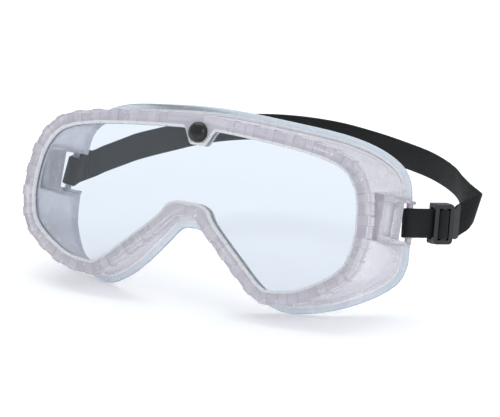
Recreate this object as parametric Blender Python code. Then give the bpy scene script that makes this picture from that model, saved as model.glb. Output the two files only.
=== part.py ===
"""Safety goggles: a clear one-piece lens in a soft PVC frame, with an elastic strap and a three-bar slide.

Run with: blender --background --python part.py. Units are metres and +Z is up; the sizes below are in millimetres.
The frame is drawn in its own axes: x to the right, y back towards the face, z up, with y = 0 at the middle of the
rim's front face. The empty "stance" then leans it back, as it stands on the two lobes of its face flange.
"""

import math

import bmesh
import bpy
import numpy as np
from mathutils import Matrix, Vector

MM = 0.001
CLEAR = 0.3  # air between neighbouring pieces

# Stance: the frame leans back on its lower lobes, and the strap runs level behind it.
LEAN = math.radians(18.5)

# Half outlines from the top middle, over the temple and the cheek lobe, to the nose: (x, z) of the rim's outer edge.
RIM_HALF = [(0, 37.5), (30, 36), (58, 33), (74.5, 28), (83.5, 18), (87, 4.5), (86.8, -11), (80.5, -24.5),
            (63, -35.7), (47, -39), (38, -36.8), (23, -24.5), (12, -14.8), (5, -8), (0, -7.5)]
# The face flange's outer edge at the same stations: (x, z, y), where y is how far back the face curves away.
FLANGE_HALF = [(0, 42.3, 19.5), (30, 41, 22.5), (58.5, 38.4, 32), (75.5, 32.5, 39.5), (84, 23, 42.5), (86.5, 4, 44),
               (87, -14.5, 45.5), (81, -25.5, 42), (66, -36.3, 30), (47, -41.3, 22), (35, -38, 18), (23.5, -30.5, 14),
               (12.5, -20, 11), (5.5, -13, 9.5), (0, -11.8, 9.3)]
LENS_RADIUS = 1000  # the rim and lens bow gently round the face

# Rim section.
RIM_WIDTH = 6.4
RIM_DEPTH = 6.0
LIP = 2.0  # the lips in front of and behind the lens groove
GROOVE_DEPTH = 3.4
LENS_THICK = 1.5
EDGE_ROUND = 0.8

# Castellated outer edge of the rim.
PITCH = 10.0
TOOTH = 3.8
TOOTH_STEP = 0.5
RECESS = 0.8
PLAIN_TOP = 17.0  # the plain stretch at the tongue, each side of the middle
PLAIN_NOSE = 14.0

# Walls and flange.
WALL = 1.6
FLANGE_LIP = 4.5
FLANGE_SET = 1.8  # how far the wall ends in front of the flange's edge

# Tongue and stud.
STUD_Z = 29.6
TONGUE_R = 6.2
STUD_HEAD_R = 4.4
STUD_HEAD_H = 3.2
SHANK_R = 2.2
SHANK_HOLE_R = 2.4
SHANK_END = 8.6
RETAINER_R = 3.6
RETAINER_H = 1.6

# Strap anchors.
BAR_X = 86.8
BAR_Y = 41.5
BAR_Z = 5.5
BAR_R = 1.7
NOTCH_HALF = 8.3
NOTCH_Y = 32.8
CHEEK = 1.8
PAD_HALF = NOTCH_HALF + CHEEK

# Strap and slide.
STRAP_W = 12.6
STRAP_T = 1.2
LOOP_R = BAR_R + 0.2 + STRAP_T / 2
PLY_OFF = (STRAP_T + CLEAR) / 2
ARM = Vector((5.4, 43.5, 2.2))  # from each anchor bar to the strap's own pivot, level with it
SLIDE_RUN = Vector((11.8, 19.2, -3.0))  # from the right bar, the straight run that the slide sits on
BEND = Vector((18.6, 29.6, 2.4))  # from the right bar to the crease of the right arm
BEND_R = 5.0
SEWN_END = 14.0
TAIL_END = 25.0
BUCKLE_START = 10.8
BUCKLE_L = 9.6
BUCKLE_H = 17.4
BUCKLE_T = 1.9
BUCKLE_BAR = 2.0
PIVOT_GAP = 0.35

COLOURS = {
    "pvc": ((0.84, 0.82, 0.88), 0.25),
    "lens": ((0.80, 0.87, 0.93), 0.05),
    "black": ((0.02, 0.02, 0.022), 0.3),
    "webbing": ((0.035, 0.037, 0.038), 0.8),
}


def clear_scene():
    for obj in list(bpy.data.objects):
        bpy.data.objects.remove(obj, do_unlink=True)


def material(name):
    found = bpy.data.materials.get(name)
    if found:
        return found
    colour, roughness = COLOURS[name]
    made = bpy.data.materials.new(name)
    made.use_nodes = True
    shader = made.node_tree.nodes["Principled BSDF"]
    shader.inputs["Base Color"].default_value = (*colour, 1)
    shader.inputs["Roughness"].default_value = roughness
    shader.inputs["Metallic"].default_value = 0
    return made


def mesh_object(name, bm, slot, parent):
    bmesh.ops.recalc_face_normals(bm, faces=bm.faces)
    mesh = bpy.data.meshes.new(name)
    bm.to_mesh(mesh)
    bm.free()
    obj = bpy.data.objects.new(name, mesh)
    bpy.context.scene.collection.objects.link(obj)
    obj.parent = parent
    mesh.materials.append(material(slot))
    return obj


def empty(name, at, parent=None):
    obj = bpy.data.objects.new(name, None)
    bpy.context.scene.collection.objects.link(obj)
    obj.parent = parent
    obj.location = Vector(at) * MM
    return obj


def boolean(target, cutter, operation, solver="EXACT"):
    modifier = target.modifiers.new(f"{operation.lower()}_{cutter.name}", "BOOLEAN")
    modifier.operation = operation
    modifier.solver = solver
    modifier.object = cutter
    cutter.hide_render = True
    cutter.display_type = "WIRE"


def loft(rings, closed):
    """A closed body through rings of equal length: a torus if closed, else a tube with flat ends."""
    bm = bmesh.new()
    made = [[bm.verts.new(Vector(p) * MM) for p in ring] for ring in rings]
    count = len(made)
    for i in range(count if closed else count - 1):
        here, there = made[i], made[(i + 1) % count]
        for j in range(len(here)):
            k = (j + 1) % len(here)
            bm.faces.new((here[j], here[k], there[k], there[j]))
    if not closed:
        bm.faces.new(made[0][::-1])
        bm.faces.new(made[-1])
    return bm


def box(name, low, high, parent):
    bm = bmesh.new()
    bmesh.ops.create_cube(bm, size=1)
    low, high = Vector(low), Vector(high)
    for vert in bm.verts:
        vert.co = Vector([low[i] + (vert.co[i] + 0.5) * (high[i] - low[i]) for i in range(3)]) * MM
    return mesh_object(name, bm, "pvc", parent)


def rod(name, at, radius, length, axis, slot, parent, sides=24):
    """A cylinder that starts at a point and runs along y or z."""
    bm = bmesh.new()
    bmesh.ops.create_cone(bm, cap_ends=True, segments=sides, radius1=radius * MM, radius2=radius * MM,
                          depth=length * MM)
    bmesh.ops.translate(bm, verts=bm.verts, vec=(0, 0, length * MM / 2))
    if axis == "y":
        bmesh.ops.rotate(bm, verts=bm.verts, matrix=Matrix.Rotation(-math.pi / 2, 3, "X"))
    bmesh.ops.translate(bm, verts=bm.verts, vec=Vector(at) * MM)
    return mesh_object(name, bm, slot, parent)


# The frame's outlines.

def smooth(points, steps=24):
    """A closed Catmull-Rom curve through the half outline and its mirror image, as an array of points."""
    half = np.array(points, float)
    mirrored = half[-2:0:-1] * ([-1] + [1] * (half.shape[1] - 1))
    knots = np.vstack([half, mirrored])
    count = len(knots)
    made = []
    for i in range(count):
        p0, p1, p2, p3 = (knots[(i + k) % count] for k in (-1, 0, 1, 2))
        for t in np.arange(steps) / steps:
            made.append(0.5 * (2 * p1 + (p2 - p0) * t + (2 * p0 - 5 * p1 + 4 * p2 - p3) * t * t
                               + (3 * p1 - p0 - 3 * p2 + p3) * t ** 3))
    return np.array(made)


def normals(curve):
    """Outward unit normals of a closed curve's (x, z) points, which run clockwise seen from the front."""
    along = np.roll(curve[:, :2], -1, axis=0) - np.roll(curve[:, :2], 1, axis=0)
    out = np.stack([-along[:, 1], along[:, 0]], axis=1)
    return out / np.linalg.norm(out, axis=1)[:, None]


class Outline:
    """The rim and flange curves, read at any distance along the rim from its top middle."""

    def __init__(self):
        self.rim = smooth(RIM_HALF)
        self.flange = smooth(FLANGE_HALF)
        step = np.linalg.norm(np.diff(np.vstack([self.rim, self.rim[:1]]), axis=0), axis=1)
        self.distance = np.concatenate([[0], np.cumsum(step)])
        self.length = self.distance[-1]
        self.rim_out = normals(self.rim)
        self.flange_out = normals(self.flange)

    def read(self, values, at):
        looped = np.vstack([values, values[:1]])
        return np.array([np.interp(at, self.distance, looped[:, i]) for i in range(looped.shape[1])])

    def station(self, at):
        at = at % self.length
        return (self.read(self.rim, at), self.read(self.rim_out, at),
                self.read(self.flange, at), self.read(self.flange_out, at))


def bow(x):
    return x * x / (2 * LENS_RADIUS)


def rim_stations(outline):
    """(distance, recess) pairs round the rim: a shallow recess between teeth, and plain at tongue and nose."""
    half = outline.length / 2
    count = round((half - PLAIN_TOP - PLAIN_NOSE) / PITCH)
    pitch = (half - PLAIN_TOP - PLAIN_NOSE) / count
    side = [(s, 0.0) for s in np.linspace(0, PLAIN_TOP, 5)[1:-1]]
    for i in range(count):
        start = PLAIN_TOP + i * pitch
        side += [(start, 0.0), (start + TOOTH_STEP, RECESS)]
        side += [(start + (pitch - TOOTH) / 2, RECESS), (start + pitch - TOOTH - TOOTH_STEP, RECESS)]
        side += [(start + pitch - TOOTH, 0.0)]
    side += [(s, 0.0) for s in np.linspace(half - PLAIN_NOSE, half, 6)[:-1]]
    mirrored = [(outline.length - s, recess) for s, recess in reversed(side)]
    return [(0.0, 0.0)] + side + [(half, 0.0)] + mirrored


def frame_section(outline, at, recess):
    """The closed section of the frame at one station, from the front lip round the wall and flange to the groove."""
    rim, out, flange, flange_out = outline.station(at)

    def on_rim(offset, y):
        x = rim[0] + out[0] * offset
        return (x, bow(x) + y, rim[1] + out[1] * offset)

    def on_flange(offset, y):
        return (flange[0] + flange_out[0] * offset, flange[2] + y, flange[1] + flange_out[1] * offset)

    wall_front = on_rim(-EDGE_ROUND, RIM_DEPTH + 0.2)
    wall_back = on_flange(-FLANGE_LIP, -FLANGE_SET)
    inner_front = on_rim(-EDGE_ROUND - WALL - 0.3, RIM_DEPTH + 0.1)
    inner_back = on_flange(-FLANGE_LIP - WALL, -0.2)
    wall_middle = tuple((a + b) / 2 for a, b in zip(wall_front, wall_back))
    inner_middle = tuple((a + b) / 2 for a, b in zip(inner_front, inner_back))
    groove_back = LIP + LENS_THICK + 0.4
    return [
        on_rim(-RIM_WIDTH, EDGE_ROUND), on_rim(-RIM_WIDTH + 1.0, 0), on_rim(-EDGE_ROUND - recess, 0),
        on_rim(-recess, EDGE_ROUND), on_rim(-recess, RIM_DEPTH - EDGE_ROUND),
        wall_front, wall_middle, wall_back, on_flange(0, -0.7), on_flange(0, 0.7),
        inner_back, inner_middle, inner_front, on_rim(-RIM_WIDTH + 0.4, RIM_DEPTH),
        on_rim(-RIM_WIDTH, RIM_DEPTH - 0.6), on_rim(-RIM_WIDTH, groove_back),
        on_rim(-RIM_WIDTH + GROOVE_DEPTH, groove_back), on_rim(-RIM_WIDTH + GROOVE_DEPTH, LIP),
        on_rim(-RIM_WIDTH, LIP),
    ]


def tongue(name, y_front, y_back, parent):
    """A tab that hangs from the rim's lip round the stud's hole."""
    half_turn = [math.pi * i / 12 for i in range(13)]
    outline = [(TONGUE_R * math.cos(a), STUD_Z - TONGUE_R * math.sin(a)) for a in half_turn]
    outline += [(-TONGUE_R - 1.5, STUD_Z + 2.5), (TONGUE_R + 1.5, STUD_Z + 2.5)]
    rings = [[(x, y, z) for x, z in outline] for y in (y_front, y_back)]
    return mesh_object(name, loft(rings, closed=False), "pvc", parent)


def add_anchor(frame, side, stance):
    """The strap anchor in one temple wall: a raised box with a pocket outside and a recess inside, and behind it a
    notch, open to the back, between two cheeks that hold the bar. The blocks graze the wall's curved faces, which the EXACT solver leaves open, so these use MANIFOLD.
    """
    where = "right" if side > 0 else "left"

    def block(name, x, y, half):
        low = (min(side * x[0], side * x[1]), y[0], BAR_Z - half)
        high = (max(side * x[0], side * x[1]), y[1], BAR_Z + half)
        return box(f"{where}_{name}", low, high, stance)

    boolean(frame, block("pad", (82.4, 88.2), (12.0, NOTCH_Y + 1), PAD_HALF), "UNION", "MANIFOLD")
    boolean(frame, block("cheeks", (80.8, 87.9), (NOTCH_Y - 3, BAR_Y + 1.9), PAD_HALF - 0.4), "UNION", "MANIFOLD")
    boolean(frame, block("pocket", (84.2, 92), (13.5, 24), NOTCH_HALF - 0.8), "DIFFERENCE", "MANIFOLD")
    boolean(frame, block("face", (87.6, 92), (23.8, NOTCH_Y + 2), NOTCH_HALF - 0.4), "DIFFERENCE", "MANIFOLD")
    boolean(frame, block("recess", (74, 86.0), (25.4, NOTCH_Y + 3), NOTCH_HALF - 0.2), "DIFFERENCE", "MANIFOLD")
    boolean(frame, block("notch", (76, 94), (NOTCH_Y, 56), NOTCH_HALF), "DIFFERENCE", "MANIFOLD")
    bar_low = (side * BAR_X, BAR_Y, BAR_Z - NOTCH_HALF - 1)
    bar = rod(f"{where}_bar", bar_low, BAR_R, 2 * NOTCH_HALF + 2, "z", "pvc", stance, sides=20)
    boolean(frame, bar, "UNION", "MANIFOLD")


def make_frame(outline, stance):
    rings = [frame_section(outline, at, recess) for at, recess in rim_stations(outline)]
    frame = mesh_object("frame_body", loft(rings, closed=True), "pvc", stance)
    boolean(frame, tongue("front_tongue", 0.4, LIP - 0.01, stance), "UNION")
    boolean(frame, tongue("back_tongue", LIP + LENS_THICK + 0.41, RIM_DEPTH - 0.1, stance), "UNION")
    hole = rod("stud_hole", (0, -3, STUD_Z), SHANK_HOLE_R, 12, "y", "pvc", stance)
    boolean(frame, hole, "DIFFERENCE")
    for side in (-1, 1):
        add_anchor(frame, side, stance)
    return frame


def make_lens(outline, stance):
    """A bowed sheet whose edge stands in the rim's groove."""
    inset = RIM_WIDTH - GROOVE_DEPTH + 2 * CLEAR
    edge = np.array([outline.station(s)[0] - outline.station(s)[1] * inset
                     for s in np.linspace(0, outline.length / 2, 160)])
    widest = int(np.argmax(edge[:, 0]))
    reach = edge[widest, 0] - 0.15
    half = reach * np.sin(np.linspace(0, math.pi / 2, 24))
    columns = np.concatenate([-half[:0:-1], half])
    top = np.interp(np.abs(columns), edge[:widest + 1, 0], edge[:widest + 1, 1])
    bottom = np.interp(np.abs(columns), edge[widest:, 0][::-1], edge[widest:, 1][::-1])
    rings = []
    for x, high, low in zip(columns, top, bottom):
        y = bow(x) + LIP + 0.2
        rings.append([(x, y, low), (x, y, high), (x, y + LENS_THICK, high), (x, y + LENS_THICK, low)])
    lens = mesh_object("lens", loft(rings, closed=False), "lens", stance)
    hole = rod("lens_hole", (0, -3, STUD_Z), SHANK_HOLE_R + 0.2, 12, "y", "lens", stance)
    boolean(lens, hole, "DIFFERENCE")
    return lens


def make_stud(stance):
    """A domed head on a plain shank, spun about its own axis; its origin is where the shank meets the head."""
    pivot = empty("stud_axis", (0, 0, STUD_Z), stance)
    dome = [(STUD_HEAD_R * math.cos(a), STUD_HEAD_H * math.sin(a)) for a in np.linspace(math.pi / 2, 0, 8)]
    profile = [(max(r, 0.0), -CLEAR - h) for r, h in dome]
    profile += [(STUD_HEAD_R, -CLEAR + 0.3), (SHANK_R, -CLEAR + 0.3), (SHANK_R, SHANK_END), (0.0, SHANK_END)]
    profile[0] = (0.0, profile[0][1])
    bm = bmesh.new()
    verts = [bm.verts.new((r * MM, y * MM, 0)) for r, y in profile]
    edges = [bm.edges.new(pair) for pair in zip(verts[:-1], verts[1:])]
    bmesh.ops.spin(bm, geom=verts + edges, cent=(0, 0, 0), axis=(0, 1, 0), angle=2 * math.pi, steps=28,
                   use_merge=True)
    bmesh.ops.remove_doubles(bm, verts=bm.verts, dist=1e-6)
    return mesh_object("lens_stud", bm, "black", pivot)


def make_retainer(stance):
    start = RIM_DEPTH + CLEAR
    ring = rod("stud_retainer", (0, start, STUD_Z), RETAINER_R, RETAINER_H, "y", "black", stance)
    bore = rod("retainer_bore", (0, start - 1, STUD_Z), SHANK_R + 0.1, RETAINER_H + 2, "y", "black", stance)
    boolean(ring, bore, "DIFFERENCE")
    return ring


# The strap. Its places are in level axes with the same origin as the frame's, after the lean.

def leaned(x, y, z):
    return Vector((x, y * math.cos(LEAN) + z * math.sin(LEAN), z * math.cos(LEAN) - y * math.sin(LEAN)))


BAR_AXIS = leaned(0, 0, 1)
LEFT_BAR = leaned(-BAR_X, BAR_Y, BAR_Z)
RIGHT_BAR = leaned(BAR_X, BAR_Y, BAR_Z)
LEFT_PIVOT = LEFT_BAR + ARM
RIGHT_PIVOT = RIGHT_BAR + ARM
LEVEL = Vector((0, 0, 1))


def ramp(value, start, end):
    t = min(max((value - start) / (end - start), 0), 1)
    return t * t * (3 - 2 * t)


def ribbon(stations, to_axis):
    """A strap through (point, width direction) stations, as rings of four corners about the piece's own axis."""
    points = [point for point, _ in stations]
    rings = []
    for i, (point, across) in enumerate(stations):
        along = (points[min(i + 1, len(points) - 1)] - points[max(i - 1, 0)]).normalized()
        flat = along.cross(across).normalized()
        upright = flat.cross(along).normalized()
        width = across.normalized() * (STRAP_W / 2 / max(across.normalized().dot(upright), 0.5))
        thick = flat * (STRAP_T / 2)
        centre = point - to_axis
        rings.append([centre - width - thick, centre + width - thick, centre + width + thick,
                      centre - width + thick])
    return loft(rings, closed=False)


def bar_loop(bar, along, side, count=10):
    """Stations half-way round the front of a bar, from its +side face to its other face."""
    forward = (along - BAR_AXIS * along.dot(BAR_AXIS)).normalized()
    lateral = BAR_AXIS.cross(forward).normalized() * side
    made = []
    for i in range(count + 1):
        angle = math.pi * i / count
        made.append((bar + (lateral * math.cos(angle) - forward * math.sin(angle)) * LOOP_R, BAR_AXIS))
    return made


def ply(route, side, marks, across):
    """One ply of the strap beside a route that leaves the bar: it draws in from the loop to lie on its fellow."""
    made = []
    for s in marks:
        point, along = route(s)
        lean = across(s)
        lateral = lean.cross(along).normalized() * side
        off = LOOP_R + (PLY_OFF - LOOP_R) * ramp(s, 0, 7)
        made.append((point + lateral * off, lean))
    return made


def centred(stations, route, marks, start, end):
    """The same ply, moved onto the route itself between start and end, past the end of its fellow."""
    return [(p - (p - route(s)[0]) * ramp(s, start, end), lean) for (p, lean), s in zip(stations, marks)]


def mixed(a, b, t):
    return (a * (1 - t) + b * t).normalized()


def straight_route(start, end):
    along = (end - start).normalized()

    def route(s):
        return start + along * s, along

    return route


def make_left_arm(rest):
    """The strap's sewn end: in from the pivot, round the left bar, and back to lie on itself."""
    pivot = empty("left_bar_axis", LEFT_BAR, rest)
    route = straight_route(LEFT_BAR, LEFT_PIVOT)
    length = (LEFT_PIVOT - LEFT_BAR).length
    _, along = route(0)

    def across(s):
        return mixed(mixed(BAR_AXIS, LEVEL, ramp(s, 2, 16)), BAR_AXIS, ramp(s, 26, length))

    marks = np.linspace(1.0, length - PIVOT_GAP, 16)
    inner = centred(ply(route, -1, marks, across), route, marks, SEWN_END + 1, SEWN_END + 9)
    outer = ply(route, 1, np.linspace(1.0, SEWN_END, 6), across)
    stations = inner[::-1] + bar_loop(LEFT_BAR, along, -1) + outer
    return mesh_object("strap_left_arm", ribbon(stations, LEFT_BAR), "webbing", pivot)


def filleted(start, corner, end, radius, count=8):
    """A route of points from start to end with a rounded corner, and the distance along it."""
    a, b = (start - corner).normalized(), (end - corner).normalized()
    half = a.angle(b) / 2
    reach = radius / math.tan(half)
    centre = corner + (a + b).normalized() * (radius / math.sin(half))
    first, last = corner + a * reach - centre, corner + b * reach - centre
    sweep = first.angle(last)
    made = [start]
    for i in range(count + 1):
        t = i / count
        made.append(centre + (first * math.sin((1 - t) * sweep) + last * math.sin(t * sweep)) / math.sin(sweep))
    return made + [end]


def polyline_route(points):
    lengths = [0.0]
    for a, b in zip(points[:-1], points[1:]):
        lengths.append(lengths[-1] + (b - a).length)

    def route(s):
        i = max(k for k in range(len(points) - 1) if lengths[k] <= max(s, 0) or k == 0)
        along = (points[i + 1] - points[i]).normalized()
        return points[i] + along * (s - lengths[i]), along

    return route, lengths[-1]


CREASE = RIGHT_BAR + BEND
BUCKLE_UP = Vector((0, 0.16, 0.987)).normalized()
CREASE_UP = Vector((0.22, 0.21, 0.95)).normalized()


def right_across(s, length):
    near = mixed(BAR_AXIS, BUCKLE_UP, ramp(s, 2, 9))
    bent = mixed(near, CREASE_UP, ramp(s, 25, BEND.length))
    return mixed(bent, BAR_AXIS, ramp(s, BEND.length + 3, length))


def make_right_arm(rest):
    """The strap's free end: from the pivot over the crease, round the right bar, and out through the slide."""
    pivot = empty("right_pivot_axis", RIGHT_PIVOT, rest)
    corner = filleted(RIGHT_BAR + SLIDE_RUN, CREASE, RIGHT_PIVOT, BEND_R)
    route, length = polyline_route([RIGHT_BAR] + corner)
    _, along = route(0)

    def across(s):
        return right_across(s, length)

    marks = list(np.linspace(1, 25, 10)) + list(np.linspace(27, length - PIVOT_GAP, 16))
    main = centred(ply(route, 1, marks, across), route, marks, TAIL_END + 1, TAIL_END + 7)
    tail = ply(route, -1, np.linspace(1.0, TAIL_END, 10), across)
    stations = main[::-1] + bar_loop(RIGHT_BAR, along, 1) + tail
    return mesh_object("strap_right_arm", ribbon(stations, RIGHT_PIVOT), "webbing", pivot)


def make_back_band(rest):
    """The long stretch behind the head, on a smooth curve between the two pivots."""
    pivot = empty("left_pivot_axis", LEFT_PIVOT, rest)
    level = LEFT_PIVOT.z
    through = [(-76.5, 108), (-70, 130), (-57, 146.5), (-38, 155), (-14, 155), (10, 147.5), (33, 137), (54, 125),
               (74, 107.5)]
    knots = [LEFT_PIVOT] + [Vector((x, y, level)) for x, y in through] + [RIGHT_PIVOT]
    before = LEFT_PIVOT + (LEFT_BAR - LEFT_PIVOT).normalized() * (LEFT_PIVOT - knots[1]).length
    after = RIGHT_PIVOT + (CREASE - RIGHT_PIVOT).normalized() * (RIGHT_PIVOT - knots[-2]).length
    knots = [before] + knots + [after]
    dense = []
    for i in range(1, len(knots) - 2):
        p0, p1, p2, p3 = knots[i - 1:i + 3]
        for t in np.arange(8) / 8:
            dense.append((p1 * 2 + (p2 - p0) * t + (p0 * 2 - p1 * 5 + p2 * 4 - p3) * t * t
                          + (p1 * 3 - p0 - p2 * 3 + p3) * t ** 3) / 2)
    dense.append(RIGHT_PIVOT)
    route, length = polyline_route(dense)
    stations = []
    for s in np.linspace(PIVOT_GAP, length - PIVOT_GAP, 56):
        lean = mixed(BAR_AXIS, LEVEL, ramp(s, 0, 20))
        lean = mixed(lean, BAR_AXIS, ramp(s, length - 20, length))
        stations.append((route(s)[0], lean))
    return mesh_object("strap_back_band", ribbon(stations, LEFT_PIVOT), "webbing", pivot)


def make_buckle(rest):
    """A three-bar slide: a plate with two slots over both plies, and returned ends that keep it on the strap."""
    along = SLIDE_RUN.normalized()
    upright = (BUCKLE_UP - along * BUCKLE_UP.dot(along)).normalized()
    outward = along.cross(upright).normalized()
    start = RIGHT_BAR + along * BUCKLE_START
    pivot = empty("buckle_axis", start, rest)
    pivot.rotation_mode = "QUATERNION"
    pivot.rotation_quaternion = Matrix((along, upright, outward)).transposed().to_quaternion()
    plate_low = PLY_OFF + STRAP_T / 2 + CLEAR
    half = BUCKLE_H / 2
    plate = box("tri_glide_buckle", (0, -half, -plate_low - 1.0), (BUCKLE_L, half, plate_low + BUCKLE_T), pivot)
    plate.data.materials.clear()
    plate.data.materials.append(material("black"))
    tunnel_half = STRAP_W / 2 + CLEAR + 0.4
    tunnel = box("buckle_tunnel", (-1, -tunnel_half, -plate_low), (BUCKLE_L + 1, tunnel_half, plate_low), pivot)
    boolean(plate, tunnel, "DIFFERENCE")
    keeper = box("buckle_open_back", (-1, -tunnel_half + 1.6, -plate_low - 3),
                 (BUCKLE_L + 1, tunnel_half - 1.6, 0), pivot)
    boolean(plate, keeper, "DIFFERENCE")
    slot = (BUCKLE_L - 3 * BUCKLE_BAR) / 2
    for i in range(2):
        low = BUCKLE_BAR + i * (slot + BUCKLE_BAR)
        cutter = box(f"buckle_slot_{i + 1}", (low, -tunnel_half, 0), (low + slot, tunnel_half, 9), pivot)
        boolean(plate, cutter, "DIFFERENCE")
    return plate


def settle(rest, nodes):
    """Moves everything so that the lowest point stands at z = 0 under the middle of the whole object."""
    bpy.context.view_layer.update()
    graph = bpy.context.evaluated_depsgraph_get()
    low = np.full(3, np.inf)
    high = -low
    for node in nodes:
        shape = node.evaluated_get(graph)
        points = np.array([shape.matrix_world @ vert.co for vert in shape.data.vertices])
        low = np.minimum(low, points.min(axis=0))
        high = np.maximum(high, points.max(axis=0))
    rest.location = (-(low[0] + high[0]) / 2, -(low[1] + high[1]) / 2, -low[2])


def main():
    clear_scene()
    rest = empty("rest", (0, 0, 0))
    stance = empty("stance", (0, 0, 0), rest)
    stance.rotation_euler.x = -LEAN
    outline = Outline()
    nodes = [make_frame(outline, stance), make_lens(outline, stance), make_stud(stance), make_retainer(stance),
             make_left_arm(rest), make_back_band(rest), make_right_arm(rest), make_buckle(rest)]
    settle(rest, nodes)
    bpy.context.view_layer.update()
    for name in ("rest", "left_bar_axis", "left_pivot_axis", "right_pivot_axis", "buckle_axis", "stud_axis"):
        print(name, [round(v, 5) for v in bpy.data.objects[name].matrix_world.translation])
    print("bar axis", [round(v, 5) for v in BAR_AXIS])


main()
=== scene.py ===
# %% [markdown]
# Safety goggles: the looks. The goggles have a clear bowed lens in a soft PVC frame, a face flange, a woven elastic
# strap and a black three-bar slide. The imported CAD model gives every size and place. This lesson models each piece
# again at a finer scale, gives it a finish, and lets it move with its CAD body.

import math

import bmesh
import bpy
import numpy as np
from mathutils import Matrix, Vector


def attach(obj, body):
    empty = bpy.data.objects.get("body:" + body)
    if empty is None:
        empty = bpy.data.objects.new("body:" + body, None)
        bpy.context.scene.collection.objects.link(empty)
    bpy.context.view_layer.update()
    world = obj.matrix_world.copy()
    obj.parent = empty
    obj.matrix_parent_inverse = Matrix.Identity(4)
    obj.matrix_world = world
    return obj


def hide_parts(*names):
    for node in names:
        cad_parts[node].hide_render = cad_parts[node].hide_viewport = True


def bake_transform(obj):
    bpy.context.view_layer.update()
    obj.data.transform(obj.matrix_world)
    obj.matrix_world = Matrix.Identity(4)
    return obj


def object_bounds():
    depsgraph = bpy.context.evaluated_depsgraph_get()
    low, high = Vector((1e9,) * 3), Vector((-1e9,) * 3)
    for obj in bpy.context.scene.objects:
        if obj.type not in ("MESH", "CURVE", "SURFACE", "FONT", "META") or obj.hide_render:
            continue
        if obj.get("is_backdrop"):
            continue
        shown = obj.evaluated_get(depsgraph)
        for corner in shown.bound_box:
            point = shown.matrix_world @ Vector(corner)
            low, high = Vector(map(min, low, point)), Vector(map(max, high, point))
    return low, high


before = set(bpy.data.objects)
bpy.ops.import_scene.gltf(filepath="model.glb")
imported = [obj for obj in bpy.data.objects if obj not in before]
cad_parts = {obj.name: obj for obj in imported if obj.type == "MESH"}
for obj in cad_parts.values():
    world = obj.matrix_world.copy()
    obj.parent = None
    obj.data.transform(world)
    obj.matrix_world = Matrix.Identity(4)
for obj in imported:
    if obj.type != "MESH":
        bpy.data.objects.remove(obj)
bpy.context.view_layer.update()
print("CAD nodes:", sorted(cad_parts))

# %% [markdown]
# The goggles are drawn in their own axes in millimetres: x to the wearer's left, y back towards the face, z up, and
# y = 0 at the middle of the rim's front. The frame leans back as it stands, while the strap runs level behind it,
# so there are two ways to place a point: STANCE leans it and LEVEL_STANCE doesn't.

# %% The two ways to place a point
MM = 0.001
LEAN = math.radians(18.5)
REST = Vector((-0.00817, -0.07268, 0.04643))
STANCE = Matrix.Translation(REST) @ Matrix.Rotation(-LEAN, 4, "X") @ Matrix.Scale(MM, 4)
LEVEL_STANCE = Matrix.Translation(REST) @ Matrix.Scale(MM, 4)


def leaned(x, y, z):
    """A point of the leaning frame, in the strap's level axes."""
    return Vector((x, y * math.cos(LEAN) + z * math.sin(LEAN), z * math.cos(LEAN) - y * math.sin(LEAN)))


print("the stud's hole is at", [round(v, 4) for v in STANCE @ Vector((0, 0, 29.6))])

# %% [markdown]
# Every step that uses Blender's own tools needs one object picked and nothing else. Edit mode also needs the right
# faces picked, and with no mouse they are picked by where they are. These few helpers do that, and a last one lays
# a finished mesh down with its place in its vertices, so that its object can sit at the origin.


# %% Helpers for modelling
def nothing_picked():
    bpy.ops.object.select_all(action="DESELECT")


def pick(obj):
    nothing_picked()
    obj.select_set(True)
    bpy.context.view_layer.objects.active = obj
    return obj


def added(name):
    """The primitive that was just added, under its own name."""
    obj = bpy.context.active_object
    obj.name = name
    obj.data.name = name
    return obj


def edit_faces(obj, test):
    """Enters edit mode with the faces picked whose centre and normal pass the test."""
    pick(obj)
    for face in obj.data.polygons:
        face.select = bool(test(face.center, face.normal))
    for edge in obj.data.edges:
        edge.select = False
    for vert in obj.data.vertices:
        vert.select = False
    bpy.ops.object.mode_set(mode="EDIT")
    bpy.ops.mesh.select_mode(type="FACE")


def finish_edit():
    bpy.ops.object.mode_set(mode="OBJECT")


def applied(obj, kind, **settings):
    """Adds a modifier, sets it and applies it at once."""
    pick(obj)
    modifier = obj.modifiers.new(kind.lower(), kind)
    for key, value in settings.items():
        setattr(modifier, key, value)
    bpy.ops.object.modifier_apply(modifier=modifier.name)
    return obj


def cut(obj, tool, operation="DIFFERENCE", solver="MANIFOLD"):
    applied(obj, "BOOLEAN", operation=operation, object=tool, solver=solver)
    bpy.data.objects.remove(tool, do_unlink=True)


def block(name, low, high, edge=0.0, segments=3):
    """A cube primitive drawn out between two corners, with rounded edges."""
    low, high = Vector(low), Vector(high)
    nothing_picked()
    bpy.ops.mesh.primitive_cube_add(size=1, location=(low + high) / 2, scale=high - low)
    obj = added(name)
    bpy.ops.object.transform_apply(location=True, rotation=True, scale=True)
    if edge:
        applied(obj, "BEVEL", width=edge, segments=segments, limit_method="ANGLE")
    return obj


def placed(obj, matrix, angle=35):
    """Puts the place into the mesh and leaves the object at the origin, smooth but for its corners."""
    obj.data.transform(matrix)
    obj.matrix_world = Matrix.Identity(4)
    pick(obj)
    bpy.ops.object.shade_smooth_by_angle(angle=math.radians(angle))
    return obj


def report_piece(obj):
    size = obj.dimensions * 1000
    obj.data.calc_loop_triangles()
    print(f"{obj.name}: {len(obj.data.loop_triangles)} triangles, {size.x:.1f} x {size.y:.1f} x {size.z:.1f} mm")


# %% [markdown]
# Shader arithmetic reads best as arithmetic. Field wraps a socket, so that a sum in Python adds the Math nodes it
# needs. Anything else, such as a noise or a ramp, comes from node(), which takes the node's type, its settings and
# its inputs.


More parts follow.
